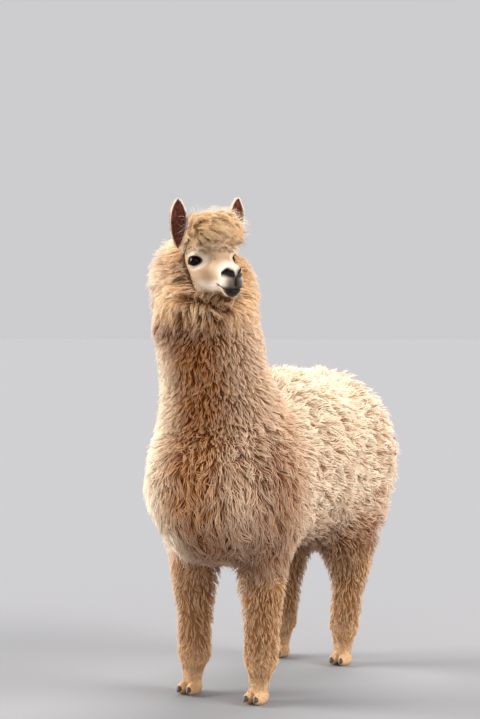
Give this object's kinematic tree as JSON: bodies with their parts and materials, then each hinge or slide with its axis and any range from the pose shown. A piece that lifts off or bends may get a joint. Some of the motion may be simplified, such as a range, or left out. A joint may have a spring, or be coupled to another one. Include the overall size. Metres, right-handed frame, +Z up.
{
  "type": "standing alpaca model",
  "caption": "Life-size still model of a standing huacaya alpaca in full fleece, with its head turned to its left.",
  "frame": {"origin": "on the floor under the middle of the box round the model", "axes": "+Z up; the animal's body faces -Y; +X is its left side"},
  "size_m": [0.5228, 1.1332, 1.4387],
  "materials": {
    "fleece": "deep crimped wool in soft locks, cream at the tips and tan below",
    "topknot_wool": "fluffy golden cream wool",
    "short_fur": "short pale fur, nearly white round the muzzle",
    "ear_skin": "thin skin with short hair, dark inside",
    "eye": "wet black",
    "nail_horn": "dark worn horn"
  },
  "bodies": {
    "root": {"chest": "fleece", "barrel": "fleece", "rump": "fleece", "neck_lower": "fleece", "neck_upper": "fleece", "collar": "fleece", "tail": "fleece", "topknot": "topknot_wool", "head": "short_fur", "muzzle": "short_fur", "ear_left": "ear_skin", "eye_left": "eye", "ear_right": "ear_skin", "eye_right": "eye", "leg_upper_fore_left": "fleece", "leg_lower_fore_left": "fleece", "foot_fore_left": "short_fur", "nail_inner_fore_left": "nail_horn", "nail_outer_fore_left": "nail_horn", "leg_upper_hind_left": "fleece", "leg_lower_hind_left": "fleece", "foot_hind_left": "short_fur", "nail_inner_hind_left": "nail_horn", "nail_outer_hind_left": "nail_horn", "leg_upper_fore_right": "fleece", "leg_lower_fore_right": "fleece", "foot_fore_right": "short_fur", "nail_inner_fore_right": "nail_horn", "nail_outer_fore_right": "nail_horn", "leg_upper_hind_right": "fleece", "leg_lower_hind_right": "fleece", "foot_hind_right": "short_fur", "nail_inner_hind_right": "nail_horn", "nail_outer_hind_right": "nail_horn"}
  },
  "joints": []
}
